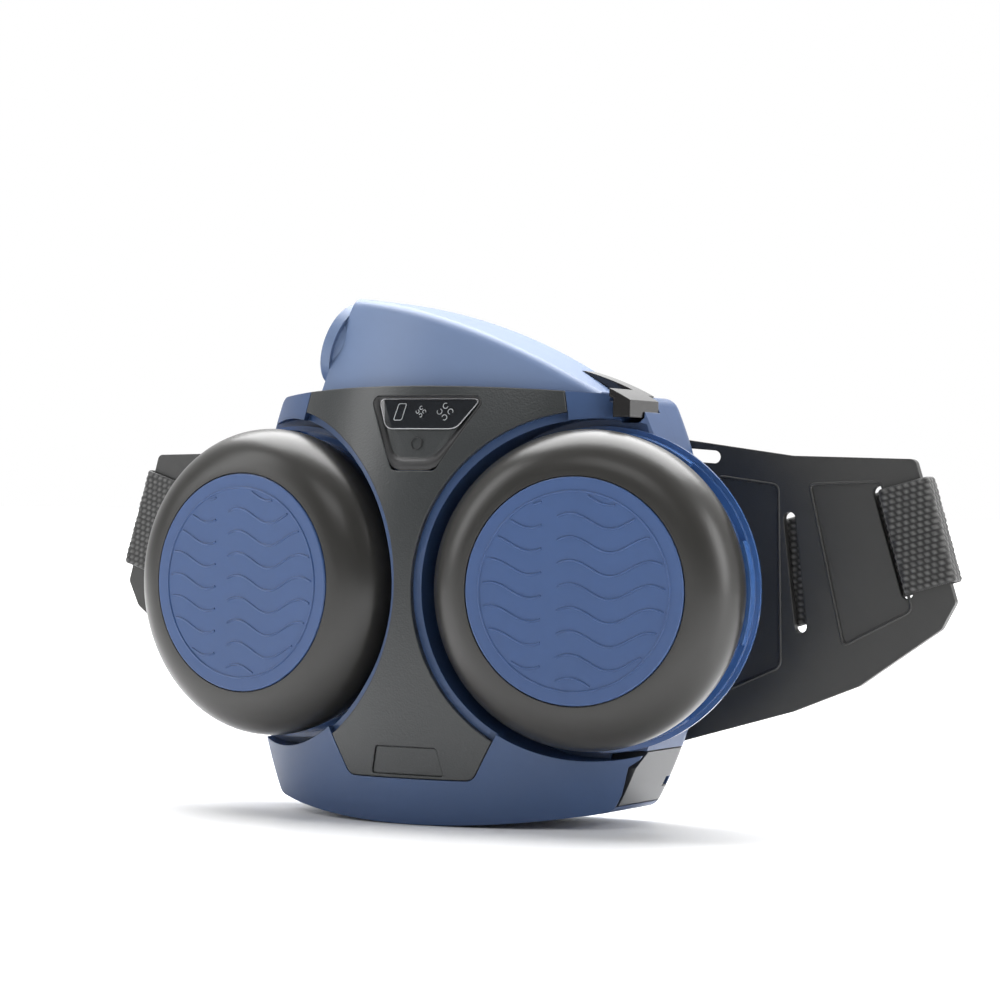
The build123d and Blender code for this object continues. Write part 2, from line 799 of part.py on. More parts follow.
def webbing():
    """From a tail behind the wing, through the slot, over the wing's end and back behind it."""
    lean = radians(strap_tilt)
    slot_x = belt_span - end_bar * cos(lean)

    def wing_y(along):
        return (slot_x + along * cos(lean) - flat_half) ** 2 / (2 * wing_round)

    lift = web / 2 + 1.1
    end = end_bar + 2.2
    points = [(-web_tail, wing_y(-web_tail) + lift), (-web_tail / 2, wing_y(-web_tail / 2) + lift),
              (-0.8, wing_y(0) + lift), (0.8, wing_y(0) - plate - lift),
              (end, wing_y(end) - plate - lift), (end, wing_y(end) + lift + web),
              (0, wing_y(0) + lift + web + 0.5), (-web_tail, wing_y(-web_tail) + lift + web + 0.5)]
    band = trace(FilletPolyline(*points, radius=1.1), line_width=web)
    strip = Rot(0, -strap_tilt, 0) * extrude(band, web_width / 2, both=True)
    return Pos(slot_x, 0, strap_z - end_bar * sin(lean)) * strip


# ---------------------------------------------------------------- the whole unit

shell, battery_room = halves()
save("front_housing", front_housing(shell, battery_room))
save("rear_housing", rear_housing(shell, battery_room))
save("housing_seal", seal_line(split_y, split_y + 1))
save("front_cover", front_cover())
save("display_window", display_window())
save("badge_insert", badge())
save("outlet_neck", outlet_neck())
save("hose_socket", hose_socket())
save("socket_seal", socket_seal())
save("control_board", control_board())
save("buzzer", rod(10, board_z, 5, board_y + board, board_y + board + 4))
save("light_guides", light_guides())
save("control_button", control_button())
save("fan_scroll", fan_scroll())
save("duct_gasket", duct_gasket(body_solid(wall, front_wall)))
save("impeller", impeller())
save("fan_shaft", fan_shaft())
save("rotor_bell", rotor_bell())
save("magnet_ring", magnet_ring())
save("stator", stator())
save("motor_base", motor_base())
save("bearings", bearings())
save("battery_case", battery_case())
save("battery_cells", battery_cells())
save("battery_terminals", battery_terminals())
save("battery_contacts", battery_contacts())
save("battery_cap", battery_cap())
save("battery_latch", battery_latch())
save("belt_plate", belt_plate())
save("housing_screws", screws_along_y(screw_places(), back_y - 0.2, 1, 3.2, 2.0, 1.4, 26.0))
save("belt_screws", screws_along_y(belt_screw_places(), -0.2, 1, 3.2, 1.7, 1.4, 8.0))
board_places = [(-board_screw_x, board_z), (board_screw_x, board_z)]
save("board_screws", screws_along_y(board_places, board_y + board + 1.4, 1, 2.2, 1.4, 0.9, 6.0))

sides = {"right": webbing(), "left": mirror(webbing(), Plane.YZ)}
for side, strap in sides.items():
    save(f"{side}_webbing", strap)

pieces = {"filter_lid": filter_lid(), "lid_disc": lid_disc(), "prefilter": prefilter(),
          "filter_grille": filter_grille(), "filter_canister": filter_canister(),
          "filter_media": filter_media(), "filter_adapter": filter_adapter(),
          "filter_seal": filter_seal()}
for name, piece in pieces.items():
    right = on_filter(piece)
    save(f"right_{name}", right)
    save(f"left_{name}", mirror(right, Plane.YZ))
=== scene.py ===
# %% [markdown]
# # A belt-worn fan unit for a powered air respirator
# The wearer straps this unit to the small of the back. A fan draws air through the two round
# filters and blows it out of the neck, into a hose. The engineering model already holds every
# casing, filter, battery and screw in its right place, so this lesson loads it as a fixed frame
# and then works on the looks: finishes, raised patterns, webbing, small marks, light and camera.

# %% Load the frame
import json
from math import cos, pi, radians, sin, sqrt

import bmesh
import bpy
from mathutils import Matrix, Vector


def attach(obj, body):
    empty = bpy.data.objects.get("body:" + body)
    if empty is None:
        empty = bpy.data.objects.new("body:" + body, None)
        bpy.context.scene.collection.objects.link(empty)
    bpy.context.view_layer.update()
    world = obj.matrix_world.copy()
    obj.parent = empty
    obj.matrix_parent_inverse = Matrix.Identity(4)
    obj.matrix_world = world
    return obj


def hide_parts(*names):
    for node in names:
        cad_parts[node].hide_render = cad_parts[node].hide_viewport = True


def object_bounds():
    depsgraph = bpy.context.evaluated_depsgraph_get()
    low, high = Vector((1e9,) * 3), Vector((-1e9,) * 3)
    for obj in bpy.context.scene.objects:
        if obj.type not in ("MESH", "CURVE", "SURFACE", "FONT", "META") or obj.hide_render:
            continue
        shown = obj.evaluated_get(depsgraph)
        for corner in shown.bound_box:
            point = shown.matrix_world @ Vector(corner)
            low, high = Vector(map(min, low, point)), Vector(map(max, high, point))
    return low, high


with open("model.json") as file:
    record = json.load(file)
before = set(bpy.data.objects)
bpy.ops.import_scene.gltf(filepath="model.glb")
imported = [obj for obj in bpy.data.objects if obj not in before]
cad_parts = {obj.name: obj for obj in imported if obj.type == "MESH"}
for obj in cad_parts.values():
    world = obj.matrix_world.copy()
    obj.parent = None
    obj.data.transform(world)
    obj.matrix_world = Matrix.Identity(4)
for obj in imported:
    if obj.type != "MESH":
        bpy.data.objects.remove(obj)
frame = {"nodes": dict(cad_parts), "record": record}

cad_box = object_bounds()
MM = 0.001
print("model box", cad_box)

# %% [markdown]
# ## The camera
# A long lens from about 1.2 m keeps the two filters close to true circles. The camera stands
# a little to the right and level with the middle of the unit. It is leaned by under a degree,
# which tips the unit the way it would hang on a stand.

# %% Camera
turn, rise, lean = radians(27.56), radians(-0.07), radians(0.758)
back = Vector((sin(turn) * cos(rise), -cos(turn) * cos(rise), sin(rise)))
level = Vector((cos(turn), sin(turn), 0))
over = back.cross(level)
right = cos(lean) * level + sin(lean) * over
up = cos(lean) * over - sin(lean) * level
aim = Vector((-3.6, 0, 30.8)) * MM
camera = bpy.data.objects.new("camera", bpy.data.cameras.new("camera"))
camera.data.sensor_width = 36
camera.data.lens = 116.29
camera.data.clip_end = 50
place = Matrix((right, up, back)).transposed().to_4x4()
place.translation = aim + back * 1.1994
camera.matrix_world = place
bpy.context.collection.objects.link(camera)
bpy.context.scene.camera = camera
print("camera", tuple(round(v, 3) for v in place.translation))

# %% [markdown]
# ## Floor and light
# Black and dark blue plastics show their shape only by what they reflect, so the light comes
# from a few large soft panels. The biggest hangs overhead and slightly behind, and draws the
# broad bright bands along the tops of the lids and the neck. A pale floor catches a soft shadow.

# %% Floor
def node(tree, kind, x=0, y=0, **values):
    made = tree.nodes.new(kind)
    made.location = (x, y)
    for name, value in values.items():
        setattr(made, name, value)
    return made


def plain_material(name, colour, rough):
    material = bpy.data.materials.new(name)
    material.use_nodes = True
    shader = material.node_tree.nodes["Principled BSDF"]
    shader.inputs["Base Color"].default_value = (*colour, 1)
    shader.inputs["Roughness"].default_value = rough
    return material


floor_mesh = bpy.data.meshes.new("floor")
wide = 30.0
corners = [(-wide, -wide), (wide, -wide), (wide, wide), (-wide, wide)]
floor_mesh.from_pydata([(x, y, cad_box[0][2] - 0.0002) for x, y in corners], [], [(0, 1, 2, 3)])
floor = bpy.data.objects.new("floor", floor_mesh)


shadow_reach, white_reach = 0.5, 1.3       # shadows show up to here, and it is plain white from here


def floor_material():
    """White paper that takes a shadow near the unit and burns out to white further away."""
    material = plain_material("floor_white", (0.93, 0.93, 0.935), 0.42)
    tree = material.node_tree
    shader = tree.nodes["Principled BSDF"]
    shader.inputs["Emission Color"].default_value = (1, 1, 1, 1)
    where = node(tree, "ShaderNodeTexCoord", -800, -300)
    reach = node(tree, "ShaderNodeVectorMath", -600, -300, operation="LENGTH")
    tree.links.new(where.outputs["Object"], reach.inputs[0])
    far_out = node(tree, "ShaderNodeMapRange", -400, -300, interpolation_type="SMOOTHSTEP")
    far_out.inputs["From Min"].default_value = shadow_reach
    far_out.inputs["From Max"].default_value = white_reach
    tree.links.new(reach.outputs["Value"], far_out.inputs["Value"])
    tree.links.new(far_out.outputs["Result"], shader.inputs["Emission Strength"])
    return material


floor_mesh.materials.append(floor_material())
bpy.context.collection.objects.link(floor)


# %% Soft panels
def soft_panel(name, spot, width, height, power, colour=(1, 1, 1)):
    """A rectangular light aimed at the middle of the unit."""
    light = bpy.data.lights.new(name, "AREA")
    light.shape = "RECTANGLE"
    light.size, light.size_y, light.energy, light.color = width, height, power, colour
    lamp = bpy.data.objects.new(name, light)
    lamp.location = spot
    lamp.rotation_euler = (Vector((0, -0.03, 0.0)) - Vector(spot)).to_track_quat("-Z", "Y").to_euler()
    bpy.context.collection.objects.link(lamp)
    return lamp


soft_panel("panel_over", (-0.15, 0.38, 1.05), 1.6, 1.15, 42)
soft_panel("panel_left", (-1.25, -0.95, 0.75), 0.6, 1.2, 8)
soft_panel("panel_right", (1.3, 0.05, 0.45), 0.5, 0.9, 7)
soft_panel("panel_front", (0.2, -1.7, 1.35), 1.1, 0.6, 5)

# %% [markdown]
# The room is brighter behind the unit than in front of it, as in a studio with a lit sweep.
# The dark side in front is what keeps black plastic black: it mirrors the unlit room.

# %% Room
def room_light(front, rear):
    """A world whose light grows from the camera's side to the side behind the unit."""
    world = bpy.data.worlds.new("studio")
    world.use_nodes = True
    tree = world.node_tree
    backdrop = tree.nodes["Background"]
    way = node(tree, "ShaderNodeTexCoord", -900, 0)
    split = node(tree, "ShaderNodeSeparateXYZ", -700, 0)
    tree.links.new(way.outputs["Generated"], split.inputs[0])
    ramp = node(tree, "ShaderNodeMapRange", -500, 0, interpolation_type="SMOOTHSTEP")
    ramp.inputs["From Min"].default_value = -0.7
    ramp.inputs["From Max"].default_value = 0.9
    ramp.inputs["To Min"].default_value = front
    ramp.inputs["To Max"].default_value = rear
    tree.links.new(split.outputs["Y"], ramp.inputs["Value"])
    seen = node(tree, "ShaderNodeLightPath", -500, 300)
    level = node(tree, "ShaderNodeMix", -250, 0, data_type="FLOAT")
    level.inputs["B"].default_value = 1.0
    tree.links.new(seen.outputs["Is Camera Ray"], level.inputs["Factor"])
    tree.links.new(ramp.outputs["Result"], level.inputs["A"])
    backdrop.inputs["Color"].default_value = (1, 1, 1, 1)
    tree.links.new(level.outputs["Result"], backdrop.inputs["Strength"])
    return world


bpy.context.scene.world = room_light(0.20, 0.95)
bpy.context.scene.view_settings.view_transform = "Standard"

# %% [markdown]
# ## Moulded plastic
# A moulded case is never one flat colour: the mould's texture breaks the light up, and the
# surface is a little glossier here and duller there. One recipe gives all the plastics. A fine
# pattern makes the relief, and a broad one shifts colour and gloss by a few percent.

# %% Moulded plastic
def moulded(name, colour, rough, grain=0.25, depth=0.02, kind="NOISE", vary=0.08, clear=0.0, metal=0.0,
            soft_edge=0.35):
    """Plastic with a texture whose grain, depth and softened edges are in millimetres."""
    material = plain_material(name, colour, rough)
    tree = material.node_tree
    shader = tree.nodes["Principled BSDF"]
    shader.inputs["Metallic"].default_value = metal
    shader.inputs["Coat Weight"].default_value = clear
    shader.inputs["Coat Roughness"].default_value = 0.08
    where = node(tree, "ShaderNodeTexCoord", -900, 0)
    broad = node(tree, "ShaderNodeTexNoise", -700, 200)
    broad.inputs["Scale"].default_value = 28.0
    broad.inputs["Detail"].default_value = 3.0
    tree.links.new(where.outputs["Object"], broad.inputs["Vector"])
    shade = node(tree, "ShaderNodeMix", -300, 250, data_type="RGBA")
    shade.inputs["A"].default_value = (*[c * (1 - vary) for c in colour], 1)
    shade.inputs["B"].default_value = (*[c * (1 + vary) for c in colour], 1)
    tree.links.new(broad.outputs["Fac"], shade.inputs["Factor"])
    tree.links.new(shade.outputs["Result"], shader.inputs["Base Color"])
    gloss = node(tree, "ShaderNodeMapRange", -300, 0)
    gloss.inputs["To Min"].default_value = rough * 0.86
    gloss.inputs["To Max"].default_value = rough * 1.14
    tree.links.new(broad.outputs["Fac"], gloss.inputs["Value"])
    tree.links.new(gloss.outputs["Result"], shader.inputs["Roughness"])
    if kind == "VORONOI":
        fine = node(tree, "ShaderNodeTexVoronoi", -700, -250, feature="SMOOTH_F1")
        height = fine.outputs["Distance"]
    else:
        fine = node(tree, "ShaderNodeTexNoise", -700, -250)
        fine.inputs["Detail"].default_value = 2.0
        height = fine.outputs["Fac"]
    fine.inputs["Scale"].default_value = 1 / (grain * MM)
    tree.links.new(where.outputs["Object"], fine.inputs["Vector"])
    bump = node(tree, "ShaderNodeBump", -300, -250)
    bump.inputs["Strength"].default_value = 1.0
    bump.inputs["Distance"].default_value = depth * MM
    edge = node(tree, "ShaderNodeBevel", -500, -450, samples=4)
    edge.inputs["Radius"].default_value = soft_edge * MM
    tree.links.new(edge.outputs["Normal"], bump.inputs["Normal"])
    tree.links.new(height, bump.inputs["Height"])
    tree.links.new(bump.outputs["Normal"], shader.inputs["Normal"])
    return material


finish = {
    "housing_blue": moulded("housing_blue", (0.034, 0.070, 0.165), 0.40, 0.35, 0.018),
    "neck_blue": moulded("neck_blue", (0.118, 0.172, 0.295), 0.46, 0.35, 0.020),
    "cover_grey": moulded("cover_grey", (0.032, 0.035, 0.036), 0.30, 0.65, 0.055, "VORONOI", soft_edge=0.7),
    "smoked_window": moulded("smoked_window", (0.008, 0.010, 0.013), 0.06, 2.0, 0.002, clear=0.6),
    "adapter_blue": moulded("adapter_blue", (0.035, 0.095, 0.260), 0.24, 0.6, 0.006, clear=0.3),
    "disc_blue": moulded("disc_blue", (0.033, 0.074, 0.195), 0.36, 0.3, 0.010),
    "lid_black": moulded("lid_black", (0.024, 0.023, 0.021), 0.30, 0.28, 0.012),
    "part_black": moulded("part_black", (0.018, 0.018, 0.019), 0.45),
    "control_black": moulded(
        "control_black", (0.012, 0.011, 0.011), 0.12, 1.5, 0.004, clear=0.5, soft_edge=0.8),
    "battery_black": moulded("battery_black", (0.043, 0.046, 0.050), 0.30, 0.3, 0.010),
    "belt_black": moulded("belt_black", (0.030, 0.030, 0.029), 0.36, 0.5, 0.030, soft_edge=0.6),
    "seal_rubber": moulded("seal_rubber", (0.016, 0.016, 0.016), 0.6),
    "steel": moulded("steel", (0.55, 0.55, 0.57), 0.3, 0.5, 0.004, metal=1.0),
    "aluminium": moulded("aluminium", (0.66, 0.66, 0.68), 0.3, 0.5, 0.004, metal=1.0),
    "copper_winding": moulded("copper_winding", (0.62, 0.27, 0.10), 0.35, 0.5, 0.05, metal=1.0),
    "brass": moulded("brass", (0.70, 0.50, 0.18), 0.25, 0.5, 0.004, metal=1.0),
    "board_green": moulded("board_green", (0.01, 0.12, 0.045), 0.3),
    "clear_guide": moulded("clear_guide", (0.62, 0.68, 0.68), 0.15),
    "fan_grey": moulded("fan_grey", (0.30, 0.31, 0.33), 0.5),
    "cell_wrap": moulded("cell_wrap", (0.03, 0.30, 0.26), 0.25),
    "filter_fleece": moulded("filter_fleece", (0.74, 0.75, 0.72), 0.9, 0.4, 0.15),
    "mark_grey": moulded("mark_grey", (0.40, 0.42, 0.43), 0.35),
}
print(len(finish), "finishes")

# %% Give each piece of the frame its finish
slot_of = {part["node"]: part["material_slot"] for part in frame["record"]["subparts"]}
for name, piece in frame["nodes"].items():
    if slot_of[name] in finish:
        piece.data.materials.clear()
        piece.data.materials.append(finish[slot_of[name]])
print(len(frame["nodes"]), "pieces in the frame")


# %% [markdown]
# ## Helpers for new pieces
# A finished piece keeps its place in its mesh and its object at the origin, as the frame's own
# pieces do. Each filter leans outwards, so what belongs on it is drawn flat first and then
# carried to the filter's seat, which the frame's own joint gives.

# %% Helpers
def plain_piece(name, mesh, material):
    piece = bpy.data.objects.new(name, mesh)
    mesh.name = name
    if material:
        mesh.materials.clear()
        mesh.materials.append(material)
    bpy.context.collection.objects.link(piece)
    return piece


def baked(piece):
    """The piece with its modifiers applied, as a plain mesh."""
    done = bpy.data.meshes.new_from_object(piece.evaluated_get(bpy.context.evaluated_depsgraph_get()))
    old = piece.data
    piece.modifiers.clear()
    piece.data = done
    if isinstance(old, bpy.types.Mesh):
        bpy.data.meshes.remove(old)
    return piece


def filter_seat(side):
    """Matrix from a drawing that faces +Z to the front of that side's filter."""
    joint = next(j for j in frame["record"]["behaviour"]["joints"] if j["name"] == f"{side}_filter_turn")
    out = Vector(joint["axis"]).normalized()
    high = Vector((0, 0, 1))
    across = high.cross(out)
    seat = Matrix((across, high, out)).transposed().to_4x4()
    seat.translation = Vector(joint["pos_m"])
    return seat


def smooth(mesh):
    mesh.polygons.foreach_set("use_smooth", [True] * len(mesh.polygons))


# %% [markdown]
# ## The wavy lines on the lid's disc
# The coloured disc carries rows of thin raised waves, broken by one plain upright bar. On the
# real disc they are cut into the mould. Each follows the same sine, so Geometry Nodes draws them:
# a row of points for each wave, pushed up and down by the sine, trimmed to a circle and to the
# bar, and given a small round section that stands half out of the disc.

# %% Wave tree
def geometry_tree(name, inputs):
    """An empty tree with named inputs: (name, socket type, value)."""
    tree = bpy.data.node_groups.new(name, "GeometryNodeTree")
    tree.interface.new_socket("Geometry", in_out="INPUT", socket_type="NodeSocketGeometry")
    for label, kind, value in inputs:
        socket = tree.interface.new_socket(label, in_out="INPUT", socket_type=kind)
        if value is not None:
            socket.default_value = value
    tree.interface.new_socket("Geometry", in_out="OUTPUT", socket_type="NodeSocketGeometry")
    return tree, node(tree, "NodeGroupInput", -1200), node(tree, "NodeGroupOutput", 1400)


def sum_of(tree, operation, a, b=None):
    """One math node; a and b are sockets or numbers."""
    made = node(tree, "ShaderNodeMath", operation=operation)
    for socket, value in zip(made.inputs, (a, b)):
        if isinstance(value, (int, float)):
            socket.default_value = value
        elif value is not None:
            tree.links.new(value, socket)
    return made.outputs[0]


def wave_tree():
    tree, given, result = geometry_tree("raised_waves", [
        ("Rows", "NodeSocketInt", 9), ("Pitch", "NodeSocketFloat", 8 * MM),
        ("Wavelength", "NodeSocketFloat", 28.6 * MM), ("Swing", "NodeSocketFloat", 2.6 * MM),
        ("First Crest", "NodeSocketFloat", -1.3 * MM), ("Reach", "NodeSocketFloat", 33 * MM),
        ("Bar Place", "NodeSocketFloat", -8.8 * MM), ("Bar Width", "NodeSocketFloat", 5 * MM),
        ("Line Width", "NodeSocketFloat", 0.42 * MM), ("Finish", "NodeSocketMaterial", None)])
    link = tree.links.new
    rows = node(tree, "GeometryNodeMeshLine", -900, 200)
    link(given.outputs["Rows"], rows.inputs["Count"])
    start = sum_of(tree, "MULTIPLY", sum_of(tree, "SUBTRACT", given.outputs["Rows"], 1), -0.5)
    low = node(tree, "ShaderNodeCombineXYZ")
    link(sum_of(tree, "MULTIPLY", start, given.outputs["Pitch"]), low.inputs["Y"])
    link(low.outputs[0], rows.inputs["Start Location"])
    step = node(tree, "ShaderNodeCombineXYZ")
    link(given.outputs["Pitch"], step.inputs["Y"])
    link(step.outputs[0], rows.inputs["Offset"])
    points = 140
    line = node(tree, "GeometryNodeMeshLine", -900, -100)
    line.inputs["Count"].default_value = points
    left = node(tree, "ShaderNodeCombineXYZ")
    link(sum_of(tree, "MULTIPLY", given.outputs["Reach"], -1.0), left.inputs["X"])
    link(left.outputs[0], line.inputs["Start Location"])
    along = node(tree, "ShaderNodeCombineXYZ")
    link(sum_of(tree, "MULTIPLY", given.outputs["Reach"], 2.0 / (points - 1)), along.inputs["X"])
    link(along.outputs[0], line.inputs["Offset"])
    spread = node(tree, "GeometryNodeInstanceOnPoints", -600)
    link(rows.outputs["Mesh"], spread.inputs["Points"])
    link(line.outputs["Mesh"], spread.inputs["Instance"])
    real = node(tree, "GeometryNodeRealizeInstances", -400)
    link(spread.outputs["Instances"], real.inputs["Geometry"])
    spot = node(tree, "ShaderNodeSeparateXYZ")
    link(node(tree, "GeometryNodeInputPosition").outputs[0], spot.inputs[0])
    angle = sum_of(tree, "MULTIPLY", sum_of(tree, "DIVIDE",
                   sum_of(tree, "SUBTRACT", spot.outputs["X"], given.outputs["First Crest"]),
                   given.outputs["Wavelength"]), 2 * pi)
    lift = node(tree, "ShaderNodeCombineXYZ")
    link(sum_of(tree, "MULTIPLY", sum_of(tree, "COSINE", angle), given.outputs["Swing"]), lift.inputs["Y"])
    wave = node(tree, "GeometryNodeSetPosition", -200)
    link(real.outputs["Geometry"], wave.inputs["Geometry"])
    link(lift.outputs[0], wave.inputs["Offset"])
    after = node(tree, "ShaderNodeSeparateXYZ")
    link(node(tree, "GeometryNodeInputPosition").outputs[0], after.inputs[0])
    x, y = after.outputs["X"], after.outputs["Y"]
    far_out = sum_of(tree, "GREATER_THAN", sum_of(tree, "SQRT", sum_of(
        tree, "ADD", sum_of(tree, "MULTIPLY", x, x), sum_of(tree, "MULTIPLY", y, y))), given.outputs["Reach"])
    from_bar = sum_of(tree, "ABSOLUTE", sum_of(tree, "SUBTRACT", x, given.outputs["Bar Place"]))
    half_bar = sum_of(tree, "MULTIPLY", given.outputs["Bar Width"], 0.5)
    in_bar = sum_of(tree, "LESS_THAN", from_bar, half_bar)
    trim = node(tree, "GeometryNodeDeleteGeometry", 100)
    link(wave.outputs["Geometry"], trim.inputs["Geometry"])
    link(sum_of(tree, "MAXIMUM", far_out, in_bar), trim.inputs["Selection"])
    curve = node(tree, "GeometryNodeMeshToCurve", 300)
    link(trim.outputs["Geometry"], curve.inputs["Mesh"])
    section = node(tree, "GeometryNodeCurvePrimitiveCircle", 300, -200)
    section.inputs["Resolution"].default_value = 8
    link(given.outputs["Line Width"], section.inputs["Radius"])
    tube = node(tree, "GeometryNodeCurveToMesh", 600)
    link(curve.outputs["Curve"], tube.inputs["Curve"])
    link(section.outputs["Curve"], tube.inputs["Profile Curve"])
    tube.inputs["Fill Caps"].default_value = True
    again = node(tree, "GeometryNodeRealizeInstances", 850)
    link(tube.outputs["Mesh"], again.inputs["Geometry"])
    paint = node(tree, "GeometryNodeSetMaterial", 1100)
    link(again.outputs["Geometry"], paint.inputs["Geometry"])
    link(given.outputs["Finish"], paint.inputs["Material"])
    link(paint.outputs["Geometry"], result.inputs[0])
    return tree


def grown(name, tree, **values):
    """A mesh made by a geometry tree; values are given by the inputs' names."""
    piece = plain_piece(name, bpy.data.meshes.new(name), None)
    maker = piece.modifiers.new("maker", "NODES")
    maker.node_group = tree
    by_name = {item.name: item.identifier for item in tree.interface.items_tree if item.in_out == "INPUT"}
    for label, value in values.items():
        maker[by_name[label.replace("_", " ")]] = value
    return baked(piece)


waves = wave_tree()
for side in ("right", "left"):
    lines = grown(f"{side}_disc_waves", waves, Finish=finish["disc_blue"])
    lines.data.transform(filter_seat(side))
    smooth(lines.data)
    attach(lines, f"{side}_lid")
    print(lines.name, len(lines.data.polygons), "faces")

# %% [markdown]
# ## Beads that follow an edge
# A bead is a fine rounded line: the ring on the disc, the steel line round the display, which is a
# painted highlight for the glass's rounded edge, and the borders of the belt's panels. All are a
# path with a round section, so one small geometry tree makes them all. The path is drawn as a
# loop of points, and the tree gives it its thickness.

# %% Bead tree
def bead_tree():
    tree, given, result = geometry_tree("bead", [
        ("Line Width", "NodeSocketFloat", 0.4 * MM), ("Finish", "NodeSocketMaterial", None)])
    link = tree.links.new
    curve = node(tree, "GeometryNodeMeshToCurve", -800)
    link(given.outputs["Geometry"], curve.inputs["Mesh"])
    section = node(tree, "GeometryNodeCurvePrimitiveCircle", -800, -250)
    section.inputs["Resolution"].default_value = 10
    link(given.outputs["Line Width"], section.inputs["Radius"])
    tube = node(tree, "GeometryNodeCurveToMesh", -500)
    link(curve.outputs["Curve"], tube.inputs["Curve"])
    link(section.outputs["Curve"], tube.inputs["Profile Curve"])
    tube.inputs["Fill Caps"].default_value = True
    real = node(tree, "GeometryNodeRealizeInstances", -200)
    link(tube.outputs["Mesh"], real.inputs["Geometry"])
    paint = node(tree, "GeometryNodeSetMaterial", 100)
    link(real.outputs["Geometry"], paint.inputs["Geometry"])
    link(given.outputs["Finish"], paint.inputs["Material"])
    link(paint.outputs["Geometry"], result.inputs[0])
    return tree


bead = bead_tree()


def bead_piece(name, loops, width, surface, closed=True):
    """One piece with a bead along each loop of points, given in metres."""
    mesh = bpy.data.meshes.new(name)
    points, edges = [], []
    for loop in loops:
        start = len(points)
        points += [tuple(p) for p in loop]
        last = len(loop) if closed else len(loop) - 1
        edges += [(start + k, start + (k + 1) % len(loop)) for k in range(last)]
    mesh.from_pydata(points, edges, [])
    piece = plain_piece(name, mesh, None)
    maker = piece.modifiers.new("maker", "NODES")
    maker.node_group = bead
    for item in bead.interface.items_tree:
        if item.in_out == "INPUT" and item.name == "Line Width":
            maker[item.identifier] = width * MM
        if item.in_out == "INPUT" and item.name == "Finish":
            maker[item.identifier] = surface
    baked(piece)
    smooth(piece.data)
    return piece


def rounded(corners, radius, steps=6):
    """A closed outline with its corners softened; any number of coordinates per point."""
    result = []
    for k, corner in enumerate(corners):
        here = Vector(corner)
        before, after = Vector(corners[k - 1]), Vector(corners[(k + 1) % len(corners)])
        start = here + (before - here).normalized() * min(radius, (before - here).length * 0.45)
        end = here + (after - here).normalized() * min(radius, (after - here).length * 0.45)
        for step in range(steps + 1):
            t = step / steps
            result.append(start * (1 - t) ** 2 + here * 2 * t * (1 - t) + end * t * t)
    return result


# %% The ring on each disc
disc_r = 39.0
for side in ("right", "left"):
    circle = [Vector((cos(a), sin(a), 0)) * disc_r * 0.875 * MM for a in
              [2 * pi * k / 120 for k in range(120)]]
    seat = filter_seat(side)
    rim = bead_piece(f"{side}_disc_ring", [[seat @ p for p in circle]], 0.4, finish["disc_blue"])
    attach(rim, f"{side}_lid")

# %% [markdown]
# ## The display
# The display sits in a V-shaped dip in the cover. Its walls slope to a grained floor, and the
# upper part of the floor carries a smoked glass with three small marks: a battery and two fans,
# for the charge and the two speeds. The dip is one closed loft of outlines at several depths,
# because its walls, floor and back then share their corners. All of it follows the cover's bow.

# %% The cover's bow
bow_round, bow_tall, bow_mid_z, bow_axis_y = 110.0, 350.0, -8.0, 30.0


def on_cover(x, z, deep):
    """The place, in metres, that lies this deep under the cover's bowed front."""
    tall = bow_tall - deep
    radius = bow_round - deep - tall + sqrt(tall ** 2 - (z - bow_mid_z) ** 2)
    return Vector((x, bow_axis_y - sqrt(radius ** 2 - x ** 2), z)) * MM


print("front of the cover", tuple(round(v, 4) for v in on_cover(0, bow_mid_z, 0)))

# %% Display dip
hole = [(-18.8, 66.8), (-6.9, 40.7), (9.9, 40.7), (26.7, 66.8)]
floor_v = [(-16.4, 66.1), (-7.6, 45.2), (8.3, 45.2), (24.3, 66.1)]
glass_v = [(-16.1, 65.9), (-11.9, 55.4), (15.8, 55.4), (23.7, 65.9)]


def loft(name, layers, materials, skins):
    """Outlines joined layer by layer and closed at both ends; a layer is (outline, depth)."""
    mesh = bpy.data.meshes.new(name)
    shape = bmesh.new()
    rows = [[shape.verts.new(on_cover(p[0], p[1], deep)) for p in outline] for outline, deep in layers]
    count = len(rows[0])
    for k in range(len(rows) - 1):
        for j in range(count):
            n = (j + 1) % count
            face = shape.faces.new((rows[k][j], rows[k][n], rows[k + 1][n], rows[k + 1][j]))
            face.material_index = skins[k]
            face.smooth = True
    for row, skin in ((rows[0], skins[0]), (rows[-1], skins[-1])):
        face = shape.faces.new(row)
        face.material_index = skin
        bmesh.ops.triangulate(shape, faces=[face])
    bmesh.ops.recalc_face_normals(shape, faces=shape.faces)
    shape.to_mesh(mesh)
    shape.free()
    piece = plain_piece(name, mesh, None)
    for material in materials:
        mesh.materials.append(material)
    return piece


hole_line, floor_line = rounded(hole, 4.5), rounded(floor_v, 4.5)
dip = loft("display_dip", [(hole_line, 3.5), (hole_line, 0.1), (floor_line, 2.3), (floor_line, 2.35)],
           [finish["part_black"], finish["cover_grey"]], [0, 0, 1])
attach(dip, "root")
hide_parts("display_window")

# %% Glass, and a steel bead as a painted highlight on its edge
glass_line = rounded(glass_v, 2.6)
glass = loft("display_glass", [(glass_line, 2.5), (glass_line, 1.75),
                               ([Vector(p) * 0.985 + Vector((3.6, 61)) * 0.015 for p in glass_line], 1.6)],
             [finish["smoked_window"]], [0, 0])
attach(glass, "root")
# A steel bead round the glass: a painted highlight in place of the light on the glass's rounded edge.
rim = bead_piece("display_rim_painted_highlight", [[on_cover(p[0], p[1], 1.8) for p in glass_line]], 0.22, finish["steel"])
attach(rim, "root")
print("glass faces", len(glass.data.polygons))

# %% [markdown]
# The marks are thin raised prints. A fan mark is one curled blade repeated four times about its
# hub, so Geometry Nodes turns it; the size and the number of blades are its inputs.

